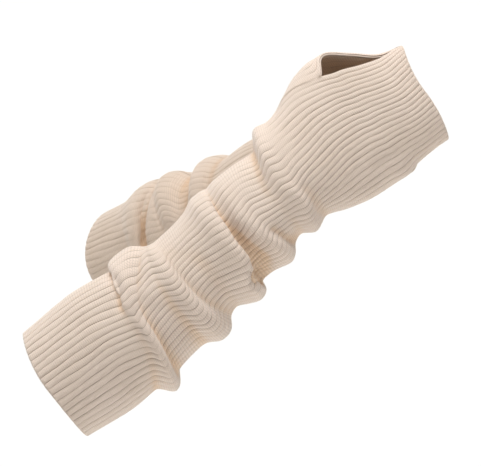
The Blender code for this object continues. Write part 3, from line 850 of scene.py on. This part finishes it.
far_outer_grids = knit_grid(FAR_RINGS, FAR_ROWS, FAR_RIBS, finger_side, back_seam, "back_drop",
                            FAR_BACK_CREASES, FAR_STRETCHED, FAR_RIB_HEIGHT, 4.6)
far_outer = shell_mesh("far_outer_knit", *far_outer_grids, FAR_RIBS, far_frame)
far_outer.data.materials.append(far_wool)
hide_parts("far_outer_half")
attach(far_outer, "root")


# Far warmer, edges, seam and thumb hole.
# The mouths are cast off and the thumb side linked as on the near warmer, but mirrored, because
# a pair has a left and a right.

far_yarn = edge_wool("far_merino_strand", "#d9c7b5")
far_halves = (far_palm_grids, far_outer_grids)
far_trims = [cast_off_edge("far_elbow_cast_off", far_halves, 0, far_frame),
             cast_off_edge("far_hand_cast_off", far_halves, -1, far_frame),
             thumb_seam("far_thumb_seam", far_halves, FAR_RINGS, far_frame),
             thumb_lips("far_thumb_lips", far_halves, FAR_RINGS, far_frame)]
for far_trim in far_trims:
    far_trim.data.materials.append(far_yarn)
    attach(far_trim, "root")


# Floor, light and camera.
# A plain pale floor lies under the raised pair.  A broad soft light comes from above, a little to
# the left, with a small lamp above the front, and a long lens looks on at the photograph's angle.

FLOOR_DROP = 0.5
FLOOR_REACH = 40.0
KEY_STRENGTH = 2.64
KEY_SOFTNESS = 0.5
KEY_PLACE = (-0.45, -0.35, 2.4)
SIDE_LIGHT_WATTS = 1.3
SIDE_LIGHT_WIDTH = 0.5
SIDE_LIGHT_PLACE = (0.14, -0.32, 0.6)
SIDE_LIGHT_AIM = (0.05, 0.0, 0.04)
FRONT_GLOW = 0.14
BACKDROP_GLOW = 1.0
MM_PER_PIXEL = 0.76
PICTURE_SIZE = (481.0, 466.0)
HELD_PIXEL = (239.09, 234.45)
CAMERA_DISTANCE = 2.4
SENSOR_WIDTH = 36.0

floor_mesh = bpy.data.meshes.new("studio_floor")
floor_level = min(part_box(node)[0][2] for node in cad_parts) - FLOOR_DROP
corners = [(x, y, floor_level) for x, y in ((-FLOOR_REACH, -FLOOR_REACH), (FLOOR_REACH, -FLOOR_REACH),
                                            (FLOOR_REACH, FLOOR_REACH), (-FLOOR_REACH, FLOOR_REACH))]
floor_mesh.from_pydata(corners, [], [(0, 1, 2, 3)])
floor = bpy.data.objects.new("studio_floor", floor_mesh)
bpy.context.scene.collection.objects.link(floor)
floor_paint = bpy.data.materials.new("pale_floor")
floor_paint.use_nodes = True
floor_shader = floor_paint.node_tree.nodes["Principled BSDF"]
floor_shader.inputs["Base Color"].default_value = linear("#ecebe9")
floor_shader.inputs["Roughness"].default_value = 0.9
floor_mesh.materials.append(floor_paint)


def turned_to(place, aim):
    """Matrix of a lamp at a place, whose light runs towards the aim."""
    back = unit(np.array(place, dtype=float) - np.array(aim, dtype=float))
    side = unit(np.cross((0.0, 0.0, 1.0), back))
    pose = np.eye(4)
    pose[:3, 0], pose[:3, 1], pose[:3, 2], pose[:3, 3] = side, np.cross(back, side), back, place
    return pose.T.tolist()


key_lamp = bpy.data.lights.new("key_light", "SUN")
key_lamp.energy = KEY_STRENGTH
key_lamp.angle = KEY_SOFTNESS
key_light = bpy.data.objects.new("key_light", key_lamp)
key_light.matrix_world = turned_to(KEY_PLACE, (0.0, 0.0, 0.0))
bpy.context.scene.collection.objects.link(key_light)

side_lamp = bpy.data.lights.new("side_light", "AREA")
side_lamp.shape = "DISK"
side_lamp.size = SIDE_LIGHT_WIDTH
side_lamp.energy = SIDE_LIGHT_WATTS
side_light = bpy.data.objects.new("side_light", side_lamp)
side_light.matrix_world = turned_to(SIDE_LIGHT_PLACE, SIDE_LIGHT_AIM)
bpy.context.scene.collection.objects.link(side_light)

world = bpy.data.worlds.new("studio")
world.use_nodes = True
sky = world.node_tree
outlook = add_node(sky, "ShaderNodeTexCoord")
heading = add_node(sky, "ShaderNodeSeparateXYZ", None, {"Vector": outlook.outputs["Generated"]})
brightness = add_node(sky, "ShaderNodeMapRange", {"interpolation_type": "SMOOTHSTEP"},
                      {"Value": heading.outputs["Y"], "From Min": -0.2, "From Max": 0.75,
                       "To Min": FRONT_GLOW, "To Max": BACKDROP_GLOW})
sky.links.new(brightness.outputs[0], sky.nodes["Background"].inputs["Strength"])
sky.nodes["Background"].inputs["Color"].default_value = linear("#ffffff")
bpy.context.scene.world = world
bpy.context.scene.view_settings.view_transform = "Standard"

lens = bpy.data.cameras.new("camera")
lens.sensor_width = SENSOR_WIDTH
lens.sensor_fit = "HORIZONTAL"
lens.lens = SENSOR_WIDTH * CAMERA_DISTANCE * 1000 / (PICTURE_SIZE[0] * MM_PER_PIXEL)
camera = bpy.data.objects.new("camera", lens)
bpy.context.scene.collection.objects.link(camera)
across_picture = (PICTURE_SIZE[0] / 2 - HELD_PIXEL[0]) * MM_PER_PIXEL * 0.001
up_picture = (HELD_PIXEL[1] - PICTURE_SIZE[1] / 2) * MM_PER_PIXEL * 0.001
stand = RIGHT * across_picture + UP * up_picture - AWAY * CAMERA_DISTANCE
pose = np.eye(4)
pose[:3, 0], pose[:3, 1], pose[:3, 2], pose[:3, 3] = RIGHT, UP, -AWAY, stand
camera.matrix_world = pose.T.tolist()
bpy.context.scene.camera = camera
